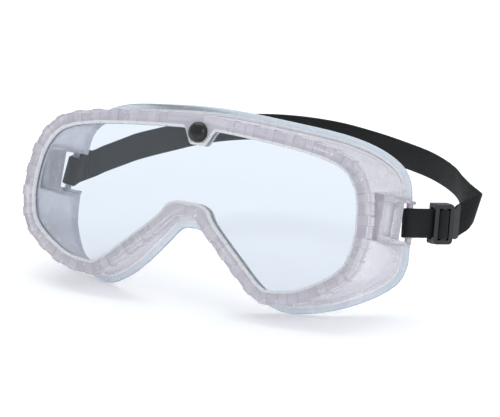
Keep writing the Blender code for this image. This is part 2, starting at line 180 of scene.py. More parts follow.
# %% Shader arithmetic
class Field:
    def __init__(self, tree, socket):
        self.tree = tree
        self.socket = socket

    def node(self, kind, inputs, output=0, **settings):
        made = self.tree.nodes.new(kind)
        for key, value in settings.items():
            setattr(made, key, value)
        for key, value in inputs.items():
            if isinstance(value, Field):
                self.tree.links.new(value.socket, made.inputs[key])
            else:
                made.inputs[key].default_value = value
        return Field(self.tree, made.outputs[output])

    def math(self, operation, *values):
        return self.node("ShaderNodeMath", dict(enumerate(values)), operation=operation)

    def __add__(self, other):
        return self.math("ADD", self, other)

    __radd__ = __add__

    def __mul__(self, other):
        return self.math("MULTIPLY", self, other)

    __rmul__ = __mul__

    def __sub__(self, other):
        return self.math("SUBTRACT", self, other)

    def __rsub__(self, other):
        return self.math("SUBTRACT", other, self)

    def sine(self):
        return self.math("SINE", self)

    def size(self):
        return self.math("ABSOLUTE", self)

    def stepped(self, low, high):
        """0 below low, 1 above high, and smooth between."""
        return self.node("ShaderNodeMapRange", {"Value": self, "From Min": low, "From Max": high},
                         interpolation_type="SMOOTHSTEP")

    def noise(self, scale, detail=3.0, roughness=0.5):
        return self.node("ShaderNodeTexNoise", {"Vector": self, "Scale": scale, "Detail": detail,
                                                "Roughness": roughness})

    def blend(self, low, high):
        """Goes from one colour to another with this field; a colour is a field or three numbers."""
        low, high = (c if isinstance(c, Field) else (*c, 1) for c in (low, high))
        return self.node("ShaderNodeMix", {0: self, 6: low, 7: high}, output=2, data_type="RGBA")

    def bump(self, strength, distance):
        return self.node("ShaderNodeBump", {"Height": self, "Strength": strength, "Distance": distance})


class Finish:
    """A material whose Principled sockets are set by name, from numbers, colours or fields."""

    def __init__(self, name):
        self.material = bpy.data.materials.new(name)
        self.material.use_nodes = True
        self.tree = self.material.node_tree
        self.shader = self.tree.nodes["Principled BSDF"]

    def source(self, kind, output):
        made = self.tree.nodes.new(kind)
        return Field(self.tree, made.outputs[output])

    def channels(self, name):
        """The three channels of a colour attribute, as fields."""
        attribute = self.tree.nodes.new("ShaderNodeAttribute")
        attribute.attribute_name = name
        split = self.tree.nodes.new("ShaderNodeSeparateColor")
        self.tree.links.new(attribute.outputs["Color"], split.inputs[0])
        return [Field(self.tree, split.outputs[i]) for i in range(3)]

    def number(self, name):
        """A plain number attribute, as a field."""
        attribute = self.tree.nodes.new("ShaderNodeAttribute")
        attribute.attribute_name = name
        return Field(self.tree, attribute.outputs["Fac"])

    def dress(self, shader, sockets):
        for key, value in sockets.items():
            socket = shader.inputs[key.replace("_", " ")]
            if isinstance(value, Field):
                self.tree.links.new(value.socket, socket)
            else:
                socket.default_value = value

    def set(self, **sockets):
        self.dress(self.shader, sockets)
        return self

    def second(self, share, **sockets):
        """A second Principled shader that takes over by the share."""
        other = self.tree.nodes.new("ShaderNodeBsdfPrincipled")
        self.dress(other, sockets)
        mix = self.tree.nodes.new("ShaderNodeMixShader")
        self.tree.links.new(share.socket, mix.inputs[0])
        self.tree.links.new(self.shader.outputs[0], mix.inputs[1])
        self.tree.links.new(other.outputs[0], mix.inputs[2])
        self.tree.links.new(mix.outputs[0], self.tree.nodes["Material Output"].inputs["Surface"])
        return self

    def inside(self, colour, density):
        """Tint that grows with the thickness the light has crossed."""
        volume = self.tree.nodes.new("ShaderNodeVolumeAbsorption")
        volume.inputs["Color"].default_value = (*colour, 1)
        volume.inputs["Density"].default_value = density
        self.tree.links.new(volume.outputs[0], self.tree.nodes["Material Output"].inputs["Volume"])
        return self


def wear(obj, finish):
    obj.data.materials.clear()
    obj.data.materials.append(finish.material)


# %% [markdown]
# Soft PVC is clear but never quite empty: it scatters a little, has a violet tint that shows where light crosses
# much of it, and its skin is satin with faint flow marks from the mould. So the shader lets most light through a
# slightly rough surface, keeps a share of milky diffuse, and a volume adds the tint by thickness. The skin attribute
# also paints light: near-white painted highlight lines on the bevels and in the anchor pockets, painted shade lines
# at the tooth steps, and teeth a little milkier so that they read lighter than the recesses.

# %% The soft PVC
pvc = Finish("soft_clear_pvc")
pvc_place = pvc.source("ShaderNodeTexCoord", "Object")
milk_and_highlight, painted_step_shade, lip_tint = pvc.channels("skin")
flow_marks = pvc_place.noise(90.0, detail=4.0)
fine_grain = pvc_place.noise(1400.0, detail=2.0)
clear_tint = flow_marks.stepped(0.3, 0.7).blend((0.86, 0.85, 0.90), (0.93, 0.92, 0.955))
with_lip = lip_tint.blend(clear_tint, (0.72, 0.81, 0.88))
# Painted shade: a darker violet line where each tooth steps down to its recess, here and in the milky colour below.
tint = (painted_step_shade * 0.55).blend(with_lip, (0.50, 0.44, 0.54))
skin_bump = (flow_marks * 0.8 + fine_grain * 0.2).bump(0.06, 0.0004)
pvc.set(Base_Color=tint, Roughness=flow_marks * 0.10 + 0.10, Transmission_Weight=0.86, IOR=1.50, Normal=skin_bump)
cloudy = flow_marks.stepped(0.3, 0.7).blend((0.84, 0.81, 0.87), (0.93, 0.90, 0.94))
lip_cloud = lip_tint.blend(cloudy, (0.80, 0.85, 0.90))
# Painted highlight: where the milk value nears 1, on the bevels and in the anchor pockets, the milky colour turns
# near white.
painted_edge_highlight = milk_and_highlight.stepped(0.75, 0.95).blend(lip_cloud, (0.98, 0.98, 1.0))
milky_tint_with_painted_light = (painted_step_shade * 0.6).blend(painted_edge_highlight, (0.46, 0.40, 0.48))
pvc.second(milk_and_highlight, Base_Color=milky_tint_with_painted_light, Roughness=flow_marks * 0.10 + 0.22, Transmission_Weight=0.25, IOR=1.50,
           Normal=skin_bump)
pvc.inside((0.70, 0.58, 0.80), 24.0)

# %% [markdown]
# The lens is a polycarbonate sheet with a hard gloss. It shows only by a faint blue cast, by what it mirrors, and by
# the hair-fine wiping marks that every used pair of goggles gets.

# %% The clear lens
lens_finish = Finish("clear_polycarbonate")
lens_place = lens_finish.source("ShaderNodeTexCoord", "Object")
wiping = lens_place.noise(220.0, detail=2.0)
lens_finish.set(Base_Color=(0.76, 0.81, 0.865, 1), Roughness=wiping.stepped(0.55, 0.75) * 0.03,
                Transmission_Weight=0.965, IOR=1.45)

# %% [markdown]
# Stud, washer and slide are moulded black plastic. The moulding is glossy with a fine grain, and handling leaves
# its edges a little duller, which a slow noise in the roughness shows.

# %% The black moulding
moulding = Finish("black_moulding")
moulding_place = moulding.source("ShaderNodeTexCoord", "Object")
handling = moulding_place.noise(260.0, detail=5.0)
moulding_grain = moulding_place.noise(2600.0, detail=1.0)
moulding.set(Base_Color=handling.blend((0.008, 0.010, 0.010), (0.018, 0.020, 0.020)),
             Roughness=handling * 0.20 + 0.16,
             Specular_IOR_Level=0.45,
             Normal=moulding_grain.bump(0.12, 0.00008))

# %% [markdown]
# Elastic webbing is a dense weave: ribs of covered rubber run along it, and fine weft rows cross them. The strap's
# own UV map runs in metres along and across it, so both can be drawn at their true pitch wherever the strap bends.

# %% The webbing
WARP_PITCH = 0.9 * MM
WEFT_PITCH = 0.55 * MM


def webbing_finish(name, dark, light):
    finish = Finish(name)
    uv = finish.source("ShaderNodeUVMap", "UV")
    split = uv.tree.nodes.new("ShaderNodeSeparateXYZ")
    uv.tree.links.new(uv.socket, split.inputs[0])
    along, across = Field(uv.tree, split.outputs[0]), Field(uv.tree, split.outputs[1])
    warp = (across * (math.pi / WARP_PITCH)).sine().size()
    offset = (across * (math.pi / WARP_PITCH)).sine().math("SIGN", (across * (math.pi / WARP_PITCH)).sine())
    weft = (along * (math.pi / WEFT_PITCH) + offset * (math.pi / 4)).sine().size()
    fuzz = uv.noise(900.0, detail=3.0)
    worn = uv.noise(70.0, detail=3.0)
    cloth = warp * 0.6 + weft * 0.4
    woven = (cloth * 0.55 + worn * 0.3 + fuzz * 0.15).stepped(0.2, 0.95).blend(dark, light)
    # The last few millimetres of each piece, marked by the attribute, are drawn a lighter grey.
    finish.set(Base_Color=finish.number("lighter_end").blend(woven, (0.075, 0.08, 0.078)),
               Roughness=fuzz * 0.15 + 0.55,
               Specular_IOR_Level=0.08,
               Normal=(cloth + fuzz * 0.3).bump(0.55, 0.00018))
    return finish


webbing = webbing_finish("woven_elastic", (0.006, 0.0068, 0.0070), (0.034, 0.037, 0.038))
thread_finish = Finish("sewing_thread")
thread_place = thread_finish.source("ShaderNodeTexCoord", "Object")
thread_finish.set(Base_Color=thread_place.noise(2000.0).blend((0.015, 0.015, 0.016), (0.06, 0.06, 0.062)),
                  Roughness=0.55)

# %% [markdown]
# The frame is one moulding: a rim with a groove for the lens, a wall that runs back from it, and a thin flange that
# meets the face. No tool draws a changing section round a closed curve, so the frame is lofted. Two closed curves
# carry it: the rim's outer edge, and the flange's edge, which curves back round the face. Each is half an outline
# from the top middle to the nose, mirrored, with a smooth curve through its points.

# %% The two outlines
RIM_HALF = [(0, 37.5), (30, 36), (58, 33), (74.5, 28), (83.5, 18), (87, 4.5), (86.8, -11), (80.5, -24.5),
            (63, -35.7), (47, -39), (38, -36.8), (23, -24.5), (12, -14.8), (5, -8), (0, -7.5)]
FLANGE_HALF = [(0, 42.3, 19.5), (30, 41, 22.5), (58.5, 38.4, 32), (75.5, 32.5, 39.5), (84, 23, 42.5), (86.5, 4, 44),
               (87, -14.5, 45.5), (81, -25.5, 42), (66, -36.3, 30), (47, -41.3, 22), (35, -38, 18), (23.5, -30.5, 14),
               (12.5, -20, 11), (5.5, -13, 9.5), (0, -11.8, 9.3)]
LENS_RADIUS = 1000


def smooth_outline(points, steps=24):
    """A closed Catmull-Rom curve through the half outline and its mirror image."""
    half = np.array(points, float)
    mirrored = half[-2:0:-1] * ([-1] + [1] * (half.shape[1] - 1))
    knots = np.vstack([half, mirrored])
    made = []
    for i in range(len(knots)):
        p0, p1, p2, p3 = (knots[(i + k) % len(knots)] for k in (-1, 0, 1, 2))
        for t in np.arange(steps) / steps:
            made.append(0.5 * (2 * p1 + (p2 - p0) * t + (2 * p0 - 5 * p1 + 4 * p2 - p3) * t * t
                               + (3 * p1 - p0 - 3 * p2 + p3) * t ** 3))
    return np.array(made)


def outward(curve):
    along = np.roll(curve[:, :2], -1, axis=0) - np.roll(curve[:, :2], 1, axis=0)
    out = np.stack([-along[:, 1], along[:, 0]], axis=1)
    return out / np.linalg.norm(out, axis=1)[:, None]


RIM = smooth_outline(RIM_HALF)
FLANGE = smooth_outline(FLANGE_HALF)
RIM_OUT, FLANGE_OUT = outward(RIM), outward(FLANGE)
RIM_AT = np.concatenate([[0], np.cumsum(np.linalg.norm(np.diff(np.vstack([RIM, RIM[:1]]), axis=0), axis=1))])
RIM_LENGTH = RIM_AT[-1]


def read(values, at):
    looped = np.vstack([values, values[:1]])
    return np.array([np.interp(at % RIM_LENGTH, RIM_AT, looped[:, i]) for i in range(looped.shape[1])])


def bow(x):
    return x * x / (2 * LENS_RADIUS)


def ramp(value, start, end):
    t = min(max((value - start) / (end - start), 0), 1)
    return t * t * (3 - 2 * t)


print(f"the rim is {RIM_LENGTH:.0f} mm round")

# %% [markdown]
# The rim's outer edge is notched: a short tooth and a long shallow recess take turns every ten millimetres, except
# round the stud's tongue and over the nose. The notches let the soft rim stretch over the lens. A loft needs extra
# sections where the shape steps, so the list of stations is denser at each tooth's sides and round the tongue.

# %% Where the sections go
PITCH, TOOTH, TOOTH_STEP = 10.0, 3.8, 0.45
RECESS, FACE_RELIEF = 0.42, 0.30
PLAIN_TOP, PLAIN_NOSE = 17.0, 14.0
STATION = 1.25  # the usual distance between sections


def rim_stations():
    """(distance, share of the recess) pairs round the whole rim, from its top middle."""
    half = RIM_LENGTH / 2
    cells = round((half - PLAIN_TOP - PLAIN_NOSE) / PITCH)
    pitch = (half - PLAIN_TOP - PLAIN_NOSE) / cells
    side = [(s, 0.0) for s in np.arange(0.35, PLAIN_TOP * 0.62, 0.35)]
    side += [(s, 0.0) for s in np.linspace(PLAIN_TOP * 0.66, PLAIN_TOP, 5)[:-1]]
    for i in range(cells):
        start = PLAIN_TOP + i * pitch
        down = [(start + TOOTH_STEP * k / 4, ramp(k, 0, 4)) for k in range(5)]
        end = start + pitch - TOOTH
        up = [(end - TOOTH_STEP + TOOTH_STEP * k / 4, 1 - ramp(k, 0, 4)) for k in range(5)]
        middle = np.linspace(start + TOOTH_STEP, end - TOOTH_STEP, round((pitch - TOOTH) / STATION) + 1)[1:-1]
        tooth = np.linspace(end, start + pitch, round(TOOTH / STATION) + 1)[1:-1]
        side += down + [(s, 1.0) for s in middle] + up + [(s, 0.0) for s in tooth]
    side += [(s, 0.0) for s in np.arange(half - PLAIN_NOSE, half - 0.3, 0.8)]
    mirrored = [(RIM_LENGTH - s, share) for s, share in reversed(side)]
    return [(0.0, 0.0)] + side + [(half, 0.0)] + mirrored


stations = rim_stations()
print(len(stations), "sections round the frame")

# %% [markdown]
# One section is a closed polygon with rounded corners. It starts at the front lip, goes over the notched outer edge,
# down the wall, round the flange's thin lip, back up the inside, and into the groove that holds the lens. At the top
# middle both lips reach down as a tongue round the stud. Every corner gets its own radius and number of points, so
# all the sections have the same number of points and can be joined.

# %% One section
RIM_WIDTH, RIM_DEPTH, LIP, GROOVE_DEPTH, LENS_THICK = 6.4, 6.0, 2.0, 3.4, 1.5
WALL, FLANGE_LIP, FLANGE_SET = 1.6, 4.5, 1.8
EDGE_ROUND = 0.8
TONGUE_DROP, TONGUE_FLAT, TONGUE_SIDE = 7.0, 3.4, 5.0
NOSE_CORNER = 0.9  # the bridge's upper edge is flat between two soft corners


# What each corner of the section belongs to: how milky the skin looks there, and whether it is the flange's lip.
# The bevels' milk value of 1.0 also paints them near white, as a painted highlight line.
BEVEL, FACE, OUTER, WALL_SKIN, LIP_SKIN, BACK_SKIN, GROOVE = (
    (1.0, 0), (0.55, 0), (0.45, 0), (0.26, 0), (0.24, 1), (0.60, 0), (0.05, 0))


def fillet(before, corner, after, radius, count):
    """Points round one corner: a smooth bend that starts and ends a radius away from it."""
    a, b = before - corner, after - corner
    a *= min(radius / np.linalg.norm(a), 0.49)
    b *= min(radius / np.linalg.norm(b), 0.49)
    if count == 1:
        return [corner]
    return [corner + a * (1 - t) ** 2 + b * t ** 2 for t in np.linspace(0, 1, count)]


def rounded(corners):
    """The points of a section whose corners are (point, radius, number of points, skin)."""
    points = [np.array(corner[0], float) for corner in corners]
    made, skins = [], []
    for i, (_, radius, count, skin) in enumerate(corners):
        made += fillet(points[i - 1], points[i], points[(i + 1) % len(points)], radius, count)
        skins += [skin] * count
    return made, skins


def frame_section(at, share):
    rim, out, flange, flange_out = read(RIM, at), read(RIM_OUT, at), read(FLANGE, at), read(FLANGE_OUT, at)
    recess, relief = RECESS * share, FACE_RELIEF * share
    from_top = min(at, RIM_LENGTH - at)
    drop = TONGUE_DROP * (1 - ramp(from_top, TONGUE_FLAT, TONGUE_FLAT + TONGUE_SIDE))
    from_nose = RIM_LENGTH / 2 - from_top
    drop += NOSE_CORNER * math.exp(-((from_nose - 6.0) / 2.2) ** 2)
    inner = -RIM_WIDTH - drop

    def on_rim(offset, y):
        x = rim[0] + out[0] * offset
        return (x, bow(x) + y, rim[1] + out[1] * offset)

    def on_flange(offset, y):
        return (flange[0] + flange_out[0] * offset, flange[2] + y, flange[1] + flange_out[1] * offset)

    groove_back = LIP + LENS_THICK + 0.4
    return rounded([
        (on_rim(inner, 0.75 + relief), 0.3, 3, BEVEL),
        (on_rim(inner + 0.9, relief), 0.3, 3, BEVEL),
        (on_rim(inner + 1.5, relief), 0.3, 2, FACE),
        (on_rim(-recess - 1.3, relief), 0.3, 2, FACE),
        (on_rim(-recess, relief), 0.6, 5, OUTER),
        (on_rim(-recess, RIM_DEPTH), 0.5, 4, OUTER),
        (on_rim(-1.3, RIM_DEPTH + 0.25), 0.5, 4, WALL_SKIN),
        (on_flange(-FLANGE_LIP, -FLANGE_SET), 1.6, 8, WALL_SKIN),
        (on_flange(-FLANGE_LIP + 1.6, -0.75 - FLANGE_SET * 0.5), 0.5, 3, BEVEL),
        (on_flange(-FLANGE_LIP + 2.4, -0.75 - FLANGE_SET * 0.3), 0.4, 2, LIP_SKIN),
        (on_flange(0, -0.75), 0.55, 4, LIP_SKIN),
        (on_flange(0, 0.75), 0.55, 4, LIP_SKIN),
        (on_flange(-FLANGE_LIP - WALL * 0.8, -0.15), 2.2, 7, BACK_SKIN),
        (on_rim(-EDGE_ROUND - WALL - 0.5, RIM_DEPTH + 0.1), 0.8, 4, BACK_SKIN),
        (on_rim(inner + 0.1, RIM_DEPTH - 0.1), 0.5, 4, BEVEL),
        (on_rim(inner, groove_back), 0.25, 3, BEVEL),
        (on_rim(-RIM_WIDTH + GROOVE_DEPTH, groove_back), 0.2, 2, GROOVE),
        (on_rim(-RIM_WIDTH + GROOVE_DEPTH, LIP), 0.2, 2, GROOVE),
        (on_rim(inner, LIP), 0.3, 3, BEVEL),
    ])


def loft(name, rings, closed):
    """A mesh through rings of equal length, closed into a loop or capped at its two ends."""
    bm = bmesh.new()
    made = [[bm.verts.new(p) for p in ring] for ring in rings]
    for i in range(len(made) if closed else len(made) - 1):
        here, there = made[i], made[(i + 1) % len(made)]
        for j in range(len(here)):
            k = (j + 1) % len(here)
            bm.faces.new((here[j], here[k], there[k], there[j]))
    if not closed:
        bm.faces.new(made[0][::-1])
        bm.faces.new(made[-1])
    bmesh.ops.recalc_face_normals(bm, faces=bm.faces)
    mesh = bpy.data.meshes.new(name)
    bm.to_mesh(mesh)
    bm.free()
    obj = bpy.data.objects.new(name, mesh)
    bpy.context.scene.collection.objects.link(obj)
    return obj


drawn = [frame_section(*station) for station in stations]
goggle_frame = loft("goggle_frame", [points for points, _ in drawn], closed=True)
skin = goggle_frame.data.attributes.new("skin", "FLOAT_COLOR", "POINT")
values = []
for (_, skins), (_, share) in zip(drawn, stations):
    # Painted shade: this value peaks half-way down each tooth's step, where the shade lines are painted.
    step_shade_share = 1 - abs(2 * share - 1)
    for milk_and_highlight, lip in skins:
        on_face = milk_and_highlight > 0.4 and (milk_and_highlight, lip) != BACK_SKIN
        # Painted light: the teeth on the face get 0.10 more milk, so they read lighter than the recesses.
        milk_with_lit_teeth = milk_and_highlight + (0.10 * (1 - share) if on_face else 0)
        values += [milk_with_lit_teeth, step_shade_share if on_face else 0, lip, 1]
skin.data.foreach_set("color", values)
print(f"goggle_frame: {len(goggle_frame.data.polygons)} faces before the anchors are joined on")

# %% [markdown]
# Each temple wall carries a strap anchor: a thick pad with a pocket in it, a notch open to the back, and a round bar
# across the notch. These are blocks with rounded edges, joined to the wall or cut from it. The stud's hole is
# drilled through both lips of the tongue in the same way. A join or a cut carries over the block's own attribute, so
# each block says how milky its faces look, and the pocket's value is high enough to paint it near white, a painted
# highlight.

# %% Anchors and the stud's hole
BAR_X, BAR_Y, BAR_Z, BAR_R = 86.8, 41.5, 5.5, 1.7
NOTCH_HALF, NOTCH_Y, CHEEK = 8.3, 32.8, 1.8
PAD_HALF = NOTCH_HALF + CHEEK
BAR_TILT = 0.12  # the bars lean in towards the top, as the temple walls do
BAR_CLEAR = 0.2  # taken off the bar and added to the loop round it: the strap turns on an axis that doesn't tilt
STUD_Z = 29.6


def block_milk_and_highlight(obj, milk_and_highlight):
    """Gives a block the same attribute as the frame's skin, which the join or the cut then carries over."""
    skin = obj.data.attributes.new("skin", "FLOAT_COLOR", "POINT")
    skin.data.foreach_set("color", [milk_and_highlight, 0, 0, 1] * len(obj.data.vertices))
    return obj


def anchor_block(side, x, y, half, edge, milk_and_highlight):
    low = (min(side * x[0], side * x[1]), y[0], BAR_Z - half)
    high = (max(side * x[0], side * x[1]), y[1], BAR_Z + half)
    return block_milk_and_highlight(block("anchor_block", low, high, edge), milk_and_highlight)


def stud_drill(radius):
    nothing_picked()
    bpy.ops.mesh.primitive_cylinder_add(vertices=48, radius=radius, depth=14, location=(0, 3, STUD_Z),
                                        rotation=(math.pi / 2, 0, 0))
    drill = added("stud_drill")
    bpy.ops.object.transform_apply(location=True, rotation=True, scale=True)
    return drill


for side in (-1, 1):
    cut(goggle_frame, anchor_block(side, (82.4, 88.2), (12.0, NOTCH_Y + 1), PAD_HALF, 0.6, 0.3), "UNION")
    cheeks = anchor_block(side, (80.8, 87.9), (NOTCH_Y - 3, BAR_Y + 1.9), PAD_HALF - 0.4, 0.6, 0.4)
    cut(goggle_frame, cheeks, "UNION")
    # The pocket's milk value of 0.9 paints its faces near white: a painted highlight.
    cut(goggle_frame, anchor_block(side, (84.2, 92), (13.5, 24), NOTCH_HALF - 0.8, 0.5, 0.9))
    cut(goggle_frame, anchor_block(side, (87.6, 92), (23.8, NOTCH_Y + 2), NOTCH_HALF - 0.4, 0.3, 0.2))
    cut(goggle_frame, anchor_block(side, (74, 86.0), (25.4, NOTCH_Y + 3), NOTCH_HALF - 0.2, 0.5, 0.4))
    cut(goggle_frame, anchor_block(side, (76, 94), (NOTCH_Y, 56), NOTCH_HALF, 0.5, 0.6))
    nothing_picked()
    bpy.ops.mesh.primitive_cylinder_add(vertices=40, radius=BAR_R - BAR_CLEAR, depth=2 * NOTCH_HALF + 2,
                                        location=(side * BAR_X, BAR_Y, BAR_Z),
                                        rotation=(0, -side * math.atan(BAR_TILT), 0))
    bar = added("anchor_bar")
    bpy.ops.object.transform_apply(location=True, rotation=True, scale=True)
    cut(goggle_frame, block_milk_and_highlight(bar, 0.4), "UNION")
cut(goggle_frame, stud_drill(2.4))
placed(goggle_frame, STANCE, angle=32)
wear(goggle_frame, pvc)
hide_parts("frame_body")
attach(goggle_frame, "frame")
report_piece(goggle_frame)

# %% [markdown]
# The lens is one sheet, bent round a wide cylinder, with its edge hidden in the groove. A strip of columns across
# it gives a clean bend, and each column ends where the groove does.

# %% The lens sheet
CLEAR = 0.3


def lens_rings(columns=60):
    inset = RIM_WIDTH - GROOVE_DEPTH + 2 * CLEAR
    edge = np.array([read(RIM, s) - read(RIM_OUT, s) * inset for s in np.linspace(0, RIM_LENGTH / 2, 400)])
    widest = int(np.argmax(edge[:, 0]))
    half = (edge[widest, 0] - 0.15) * np.sin(np.linspace(0, math.pi / 2, columns))
    across = np.concatenate([-half[:0:-1], half])
    top = np.interp(np.abs(across), edge[:widest + 1, 0], edge[:widest + 1, 1])
    bottom = np.interp(np.abs(across), edge[widest:, 0][::-1], edge[widest:, 1][::-1])
    rings = []
    for x, high, low in zip(across, top, bottom):
        y = bow(x) + LIP + 0.2
        rings.append([(x, y, low), (x, y, high), (x, y + LENS_THICK, high), (x, y + LENS_THICK, low)])
    return rings


lens_sheet = loft("lens_sheet", lens_rings(), closed=False)
cut(lens_sheet, stud_drill(2.6))
placed(lens_sheet, STANCE, angle=30)
wear(lens_sheet, lens_finish)
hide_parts("lens")
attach(lens_sheet, "frame")
report_piece(lens_sheet)

# %% [markdown]
# The stud is a push-in rivet: a low dome on a shank. It is half a sphere, flattened, whose flat side is drawn out
# into the shank by an inset and an extrusion.

# %% The stud
STUD_HEAD_R, STUD_HEAD_H, SHANK_R, SHANK_END = 4.6, 3.3, 2.2, 8.6
nothing_picked()
bpy.ops.mesh.primitive_uv_sphere_add(segments=64, ring_count=48, radius=1)
lens_stud = added("lens_rivet")
bpy.ops.object.mode_set(mode="EDIT")
bpy.ops.mesh.select_all(action="SELECT")
bpy.ops.mesh.bisect(plane_co=(0, 0, 0), plane_no=(0, 0, 1), use_fill=True, clear_inner=True)
finish_edit()
lens_stud.data.transform(Matrix.Diagonal((STUD_HEAD_R, STUD_HEAD_R, STUD_HEAD_H, 1)))
edit_faces(lens_stud, lambda centre, normal: normal.z < -0.9)
bpy.ops.mesh.extrude_region_move(TRANSFORM_OT_translate={"value": (0, 0, -0.5)})
bpy.ops.mesh.inset(thickness=STUD_HEAD_R - SHANK_R)
bpy.ops.mesh.extrude_region_move(TRANSFORM_OT_translate={"value": (0, 0, -SHANK_END - 0.1)})
finish_edit()
applied(lens_stud, "BEVEL", width=0.22, segments=3, limit_method="ANGLE", angle_limit=math.radians(50))
lens_stud.data.transform(Matrix.Translation((0, -CLEAR + 0.1, STUD_Z)) @ Matrix.Rotation(math.pi / 2, 4, "X"))
placed(lens_stud, STANCE)
wear(lens_stud, moulding)
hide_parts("lens_stud")
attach(lens_stud, "stud")
report_piece(lens_stud)

# %% [markdown]
# Behind the lens a push-on washer grips the shank. It starts as a cylinder, is bored, and six slits cut its inner
# edge into the springy fingers that do the gripping.

# %% The washer
RETAINER_R, RETAINER_H = 3.6, 1.6
nothing_picked()
bpy.ops.mesh.primitive_cylinder_add(vertices=64, radius=RETAINER_R, depth=RETAINER_H)
washer = added("rivet_washer")
applied(washer, "BEVEL", width=0.35, segments=3, limit_method="ANGLE")
nothing_picked()
bpy.ops.mesh.primitive_cylinder_add(vertices=48, radius=SHANK_R + 0.1, depth=RETAINER_H * 2)
cut(washer, added("washer_bore"))
for i in range(3):
    slit = block("washer_slit", (-2.9, -0.22, -2), (2.9, 0.22, 2))
    slit.data.transform(Matrix.Rotation(math.pi * i / 3, 4, "Z"))
    cut(washer, slit)
washer.data.transform(Matrix.Translation((0, RIM_DEPTH + CLEAR + RETAINER_H / 2, STUD_Z))
                      @ Matrix.Rotation(math.pi / 2, 4, "X"))
placed(washer, STANCE)
wear(washer, moulding)
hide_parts("stud_retainer")
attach(washer, "frame")
report_piece(washer)

# %% [markdown]
# The strap is one length of webbing. Its left end is sewn round the left bar. Its right end passes round the right
# bar and back through the slide, and it is creased where it hangs down from the long run behind the head. A strap
# is its route: a list of points, each with the direction of its width. Each route is followed by one flat section
# with round edges.

# %% Strap routes
STRAP_W, STRAP_T = 12.6, 1.2
LOOP_R = BAR_R + BAR_CLEAR + STRAP_T / 2
PLY_OFF = (STRAP_T + CLEAR) / 2
ARM = Vector((5.4, 43.5, 2.2))
SLIDE_RUN = Vector((11.8, 19.2, -3.0))
BEND = Vector((18.6, 29.6, 2.4))
BEND_R, SEWN_END, TAIL_END = 5.0, 14.0, 25.0
UP = Vector((0, 0, 1))
BAR_AXIS = leaned(0, 0, 1)
LEFT_AXIS, RIGHT_AXIS = leaned(BAR_TILT, 0, 1).normalized(), leaned(-BAR_TILT, 0, 1).normalized()
LEFT_BAR, RIGHT_BAR = leaned(-BAR_X, BAR_Y, BAR_Z), leaned(BAR_X, BAR_Y, BAR_Z)
LEFT_PIVOT, RIGHT_PIVOT = LEFT_BAR + ARM, RIGHT_BAR + ARM
SLIDE_UP = Vector((0, 0.16, 0.987)).normalized()
CREASE_UP = Vector((0.22, 0.21, 0.95)).normalized()
CREASE = RIGHT_BAR + BEND


def mixed(a, b, t):
    return (a * (1 - t) + b * t).normalized()


def bar_loop(bar, axis, along, side, count=28):
    """Stations half-way round the front of a bar, from its +side face to its other face."""
    forward = (along - axis * along.dot(axis)).normalized()
    lateral = axis.cross(forward).normalized() * side
    angles = [math.pi * i / count for i in range(count + 1)]
    return [(bar + (lateral * math.cos(a) - forward * math.sin(a)) * LOOP_R, axis) for a in angles]


def ply_point(route, side, s, lean):
    """A point of one ply beside the route: it draws in from the loop to lie on its fellow."""
    point, along = route(s)
    lateral = lean.cross(along).normalized() * side
    return point + lateral * (LOOP_R + (PLY_OFF - LOOP_R) * ramp(s, 0, 7))


def filleted(start, corner, end, radius, count=16):
    a, b = (start - corner).normalized(), (end - corner).normalized()
    half = a.angle(b) / 2
    reach = radius / math.tan(half)
    centre = corner + (a + b).normalized() * (radius / math.sin(half))
    first, last = corner + a * reach - centre, corner + b * reach - centre
    sweep = first.angle(last)
    made = [start]
    for i in range(count + 1):
        t = i / count
        made.append(centre + (first * math.sin((1 - t) * sweep) + last * math.sin(t * sweep)) / math.sin(sweep))
    return made + [end]


def route_through(points):
    lengths = [0.0]
    for a, b in zip(points[:-1], points[1:]):
        lengths.append(lengths[-1] + (b - a).length)

    def route(s):
        i = max(k for k in range(len(points) - 1) if lengths[k] <= max(s, 0) or k == 0)
        along = (points[i + 1] - points[i]).normalized()
        return points[i] + along * (s - lengths[i]), along

    return route, lengths[-1]


def left_stations():
    """From the pivot in to the left bar, round it, and back along the sewn end."""
    route, length = route_through([LEFT_BAR, LEFT_PIVOT])
    _, along = route(0)

    def lean_at(s):
        return mixed(mixed(LEFT_AXIS, UP, ramp(s, 2, 12)), BAR_AXIS, ramp(s, 26, length))

    inner = []
    for s in np.linspace(1.0, length, 60):
        p = ply_point(route, -1, s, lean_at(s))
        inner.append((p - (p - route(s)[0]) * ramp(s, SEWN_END + 1, SEWN_END + 9), lean_at(s)))
    outer = [(ply_point(route, 1, s, lean_at(s)), lean_at(s)) for s in np.linspace(1.0, SEWN_END, 18)]
    return inner[::-1] + bar_loop(LEFT_BAR, LEFT_AXIS, along, -1) + outer


def right_stations():
    """From the pivot over the crease and through the slide, round the right bar, and out to the loose tail."""
    corner = filleted(RIGHT_BAR + SLIDE_RUN, CREASE, RIGHT_PIVOT, BEND_R)
    route, length = route_through([RIGHT_BAR] + corner)
    _, along = route(0)

    def lean_at(s):
        near = mixed(RIGHT_AXIS, SLIDE_UP, ramp(s, 2, 9))
        bent = mixed(near, CREASE_UP, ramp(s, 25, BEND.length))
        return mixed(bent, BAR_AXIS, ramp(s, BEND.length + 3, length))

    main = []
    for s in np.linspace(1, length, 110):
        p = ply_point(route, 1, s, lean_at(s))
        main.append((p - (p - route(s)[0]) * ramp(s, TAIL_END + 1, TAIL_END + 7), lean_at(s)))
    tail = [(ply_point(route, -1, s, lean_at(s)), lean_at(s)) for s in np.linspace(1.0, TAIL_END, 40)]
    return main[::-1] + bar_loop(RIGHT_BAR, RIGHT_AXIS, along, 1) + tail


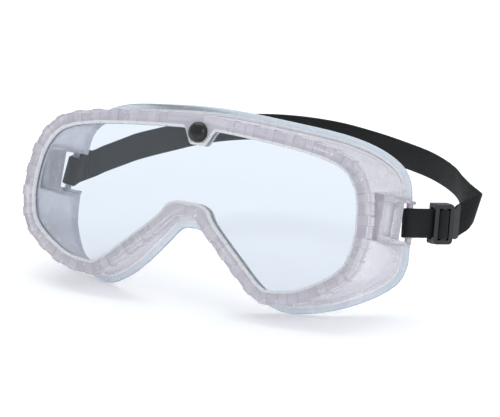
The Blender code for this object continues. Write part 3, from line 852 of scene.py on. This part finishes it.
def back_stations():
    """The long stretch behind the head, from the left pivot to the right one."""
    level = LEFT_PIVOT.z
    through = [(-76.5, 108), (-70, 130), (-57, 146.5), (-38, 155), (-14, 155), (10, 147.5), (33, 137), (54, 125),
               (74, 107.5)]
    knots = [LEFT_PIVOT] + [Vector((x, y, level)) for x, y in through] + [RIGHT_PIVOT]
    before = LEFT_PIVOT + (LEFT_BAR - LEFT_PIVOT).normalized() * (LEFT_PIVOT - knots[1]).length
    after = RIGHT_PIVOT + (CREASE - RIGHT_PIVOT).normalized() * (RIGHT_PIVOT - knots[-2]).length
    knots = [before] + knots + [after]
    dense = []
    for p0, p1, p2, p3 in zip(knots, knots[1:], knots[2:], knots[3:]):
        for t in np.arange(24) / 24:
            dense.append((p1 * 2 + (p2 - p0) * t + (p0 * 2 - p1 * 5 + p2 * 4 - p3) * t * t
                          + (p1 * 3 - p0 - p2 * 3 + p3) * t ** 3) / 2)
    route, length = route_through(dense + [RIGHT_PIVOT])
    made = []
    for s in np.linspace(0, length, 240):
        lean = mixed(mixed(BAR_AXIS, UP, ramp(s, 0, 20)), BAR_AXIS, ramp(s, length - 20, length))
        made.append((route(s)[0], lean))
    return made


left_run, right_run, back_run = left_stations(), right_stations(), back_stations()
print(len(left_run), len(back_run), len(right_run), "stations along the strap")

# %% [markdown]
# Two pieces of webbing follow the routes, and they meet in the middle of the back. The UV map is laid as the section
# is drawn, in metres along and across.

# %% The webbing pieces
EDGE_STEPS = 5
FLAT_STEPS = 9
# How much of each piece's end is drawn lighter.
LIGHTER_END = 7 * MM


def webbing_section():
    """(across, through) pairs round the strap, in millimetres, with round edges."""
    half_w, half_t = STRAP_W / 2, STRAP_T / 2
    r = half_t * 0.9
    made = [(x, -half_t) for x in np.linspace(-half_w + r, half_w - r, FLAT_STEPS)]
    made += [(half_w - r + r * math.sin(a), -half_t * math.cos(a)) for a in
             np.linspace(0, math.pi, EDGE_STEPS + 2)[1:-1]]
    made += [(x, half_t) for x in np.linspace(half_w - r, -half_w + r, FLAT_STEPS)]
    made += [(-half_w + r - r * math.sin(a), half_t * math.cos(a)) for a in
             np.linspace(0, math.pi, EDGE_STEPS + 2)[1:-1]]
    return made


def strap_piece(name, run):
    """Webbing along a run of stations; its last few millimetres are marked to be drawn lighter."""
    points = [p for p, _ in run]
    section = webbing_section()
    rings, distance = [], [0.0]
    for a, b in zip(points[:-1], points[1:]):
        distance.append(distance[-1] + (b - a).length * MM)
    for i, (point, across) in enumerate(run):
        along = (points[min(i + 1, len(points) - 1)] - points[max(i - 1, 0)]).normalized()
        flat = along.cross(across).normalized()
        upright = flat.cross(along).normalized()
        width = across.normalized() / max(across.normalized().dot(upright), 0.5)
        rings.append([point + width * x + flat * y for x, y in section])
    obj = loft(name, rings, closed=False)
    uv = obj.data.uv_layers.new(name="UVMap")
    count = len(section)
    for face in obj.data.polygons:
        ring_ids = [obj.data.loops[i].vertex_index // count for i in face.loop_indices]
        for i, ring in zip(face.loop_indices, ring_ids):
            j = obj.data.loops[i].vertex_index % count
            uv.data[i].uv = (distance[ring], section[j][0] * MM)
    lighter_end = obj.data.attributes.new("lighter_end", "FLOAT", "POINT")
    lighter_end.data.foreach_set("value", [float(d > distance[-1] - LIGHTER_END) for d in distance for _ in section])
    placed(obj, LEVEL_STANCE, angle=60)
    wear(obj, webbing)
    report_piece(obj)
    return obj


middle = len(back_run) // 2
strap_left = strap_piece("strap_left", back_run[:middle + 1][::-1][:-1] + left_run)
strap_right = strap_piece("strap_right", back_run[middle:][:-1] + right_run)


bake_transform(strap_left)
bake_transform(strap_right)
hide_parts("strap_left_arm", "strap_back_band")
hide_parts("strap_right_arm", "strap_back_band")

# %% [markdown]
# The sewn end is held by a bar tack: thread that runs to and fro across the two plies. It is a thin tube along a
# zigzag, just proud of the webbing.

# %% The bar tack
THREAD_R = 0.16


def thread_tube(name, points, sides=6):
    rings = []
    for i, p in enumerate(points):
        along = (points[min(i + 1, len(points) - 1)] - points[max(i - 1, 0)]).normalized()
        u = along.orthogonal().normalized()
        v = along.cross(u)
        rings.append([p + (u * math.cos(a) + v * math.sin(a)) * THREAD_R for a in
                      np.linspace(0, 2 * math.pi, sides, endpoint=False)])
    return loft(name, rings, closed=False)


def tack_points(side, start, rows=2):
    route, _ = route_through([LEFT_BAR, LEFT_PIVOT])
    _, along = route(0)
    made = []
    for row in range(rows):
        for i, across in enumerate(np.linspace(-STRAP_W / 2 + 1.3, STRAP_W / 2 - 1.3, 23)):
            s = start + row * 2.6 + (0.55 if i % 2 else -0.55)
            lean = mixed(LEFT_AXIS, UP, ramp(s, 2, 12))
            lateral = lean.cross(along).normalized() * side
            base = ply_point(route, side, s, lean)
            made.append(base + lateral * (STRAP_T / 2 + 0.03) + lean * (across if row % 2 else -across))
    return made


for side, name in ((1, "bar_tack_outer"), (-1, "bar_tack_inner")):
    tack = placed(thread_tube(name, tack_points(side, 9.0)), LEVEL_STANCE, angle=80)
    wear(tack, thread_finish)
    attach(tack, "left_arm")
    report_piece(tack)

# %% [markdown]
# The slide is a moulded frame with a bar across its middle, and two thick ends that wrap back round the webbing. It
# begins as a block. Its corners are rounded, two slots are cut, the ends are joined on, and a fine bevel runs along
# every edge, because a moulded edge is never sharp.

# %% The slide
BUCKLE_START, BUCKLE_L, BUCKLE_H, BUCKLE_T, BUCKLE_BAR = 10.8, 9.6, 17.4, 1.9, 2.0
PLATE_LOW = PLY_OFF + STRAP_T / 2 + CLEAR
TUNNEL_HALF = STRAP_W / 2 + CLEAR + 0.4
along = SLIDE_RUN.normalized()
upright = (SLIDE_UP - along * SLIDE_UP.dot(along)).normalized()
outward_way = along.cross(upright).normalized()
SLIDE_PLACE = (LEVEL_STANCE @ Matrix.Translation(RIGHT_BAR + along * BUCKLE_START)
               @ Matrix((along, upright, outward_way)).transposed().to_4x4())
SLIDE_CORNER = 1.8
slot_width = (BUCKLE_L - 3 * BUCKLE_BAR) / 2
slide = block("three_bar_slide", (0, -BUCKLE_H / 2, PLATE_LOW), (BUCKLE_L, BUCKLE_H / 2, PLATE_LOW + BUCKLE_T))
pick(slide)
for edge in slide.data.edges:
    ends = [slide.data.vertices[i].co for i in edge.vertices]
    edge.select = abs(ends[0].z - ends[1].z) > 1
for part in (*slide.data.vertices, *slide.data.polygons):
    part.select = False
bpy.ops.object.mode_set(mode="EDIT")
bpy.ops.mesh.select_mode(type="EDGE")
bpy.ops.mesh.bevel(offset=SLIDE_CORNER, segments=6)
finish_edit()
for end in (-1, 1):
    low, high = sorted((end * (TUNNEL_HALF + 0.05), end * BUCKLE_H / 2))
    cut(slide, block("slide_end", (0.6, low, -PLATE_LOW - 1.0), (BUCKLE_L - 0.6, high, PLATE_LOW + 0.6)), "UNION")
    low, high = sorted((end * (TUNNEL_HALF - 1.6), end * (BUCKLE_H / 2 - 0.4)))
    cut(slide, block("slide_return", (0.5, low, -PLATE_LOW - 1.1), (BUCKLE_L - 0.5, high, -PLATE_LOW)), "UNION")
for i in range(2):
    low = BUCKLE_BAR + i * (slot_width + BUCKLE_BAR)
    cut(slide, block("slide_slot", (low, -TUNNEL_HALF + 0.1, 0), (low + slot_width, TUNNEL_HALF - 0.1, 9)))
applied(slide, "BEVEL", width=0.7, segments=4, limit_method="ANGLE", angle_limit=math.radians(40))
placed(slide, SLIDE_PLACE, angle=40)
wear(slide, moulding)
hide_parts("tri_glide_buckle")
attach(slide, "slide")
report_piece(slide)

# %% [markdown]
# Inside the slide the webbing climbs through one slot, over the middle bar and down through the other. That hump
# belongs to whichever part of the strap the slide has reached, so it is a short piece that moves with the slide.

# %% The hump over the middle bar
bar_centre = BUCKLE_L / 2
top = PLATE_LOW + BUCKLE_T + STRAP_T / 2 + 0.05
foot = PLY_OFF + STRAP_T + 0.15
hump_line = [(bar_centre - 1.95, foot), (bar_centre - 1.85, foot + 1.0), (bar_centre - 1.6, top - 0.6),
             (bar_centre - 1.0, top - 0.12), (bar_centre, top), (bar_centre + 1.0, top - 0.12),
             (bar_centre + 1.6, top - 0.6), (bar_centre + 1.85, foot + 1.0), (bar_centre + 1.95, foot)]
hump_rings, hump_distance = [], 0.0
section = webbing_section()
for i, (x, z) in enumerate(hump_line):
    x0, z0 = hump_line[max(i - 1, 0)]
    x1, z1 = hump_line[min(i + 1, len(hump_line) - 1)]
    run = Vector((x1 - x0, 0, z1 - z0)).normalized()
    flat = Vector((-run.z, 0, run.x))
    hump_rings.append([Vector((x, 0, z)) + Vector((0, 1, 0)) * a + flat * b * 0.8 for a, b in section])
hump = loft("webbing_hump", hump_rings, closed=False)
hump_uv = hump.data.uv_layers.new(name="UVMap")
for loop in hump.data.loops:
    co = hump.data.vertices[loop.vertex_index].co
    hump_uv.data[loop.index].uv = (loop.vertex_index // len(section) * 1.1 * MM, co.y * MM)
placed(hump, SLIDE_PLACE, angle=60)
wear(hump, webbing)
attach(hump, "slide")
report_piece(hump)

# %% [markdown]
# The goggles stand on a plain white table in soft studio light: a bright sky all round, a large soft light above
# and behind for the sheen on the PVC, and a smaller one to the right for the gloss on the black parts. A little
# emission in the table keeps its shadows as pale as those on a lit sweep.

# %% Table and light
nothing_picked()
bpy.ops.mesh.primitive_plane_add(size=30, location=(0, 0, 0))
table = added("white_table")
table_finish = Finish("matt_white")
table_finish.set(Base_Color=(0.93, 0.93, 0.94, 1), Roughness=0.9, Emission_Color=(0.96, 0.98, 1.0, 1),
                 Emission_Strength=0.28)
table.data.materials.append(table_finish.material)
table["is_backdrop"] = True

world = bpy.data.worlds.new("studio")
bpy.context.scene.world = world
world.use_nodes = True
sky = world.node_tree.nodes["Background"]
sky.inputs["Color"].default_value = (0.92, 0.96, 1.0, 1)
sky.inputs["Strength"].default_value = 0.60


def soft_light(name, at, target, size, power, colour=(1, 1, 1)):
    data = bpy.data.lights.new(name, "AREA")
    data.shape = "RECTANGLE"
    data.size, data.size_y = size
    data.energy = power
    data.color = colour
    lamp = bpy.data.objects.new(name, data)
    bpy.context.scene.collection.objects.link(lamp)
    lamp.location = at
    lamp.rotation_mode = "QUATERNION"
    lamp.rotation_quaternion = (Vector(target) - Vector(at)).to_track_quat("-Z", "Y")
    return lamp


soft_light("overhead", (-0.5, 1.0, 2.4), (0, 0.1, 0), (3.0, 2.4), 36.0)
soft_light("front_right", (1.3, -0.6, 0.8), (0, -0.03, 0.04), (0.5, 0.7), 4.0)
bpy.context.scene.view_settings.view_transform = "Standard"

# %% [markdown]
# The camera is a long lens a metre and a half away, a little above the goggles and well round to their left. A long
# lens keeps the near and far lobes of the rim close to the same size.

# %% The camera
TARGET = Vector((0.0235, -0.07268, 0.04693))
AZIMUTH, ELEVATION, DISTANCE = math.radians(30.9), math.radians(15.2), 1.5
camera_data = bpy.data.cameras.new("camera")
camera_data.lens = 252.4
camera_data.sensor_width = 36
camera = bpy.data.objects.new("camera", camera_data)
bpy.context.scene.collection.objects.link(camera)
back = Vector((math.sin(AZIMUTH) * math.cos(ELEVATION), -math.cos(AZIMUTH) * math.cos(ELEVATION),
               math.sin(ELEVATION)))
camera.location = TARGET + back * DISTANCE
camera.rotation_mode = "QUATERNION"
camera.rotation_quaternion = (-back).to_track_quat("-Z", "Y")
bpy.context.scene.camera = camera

# %% Overall size
low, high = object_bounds()
print("visual", [round(v, 4) for v in (*low, *high)])
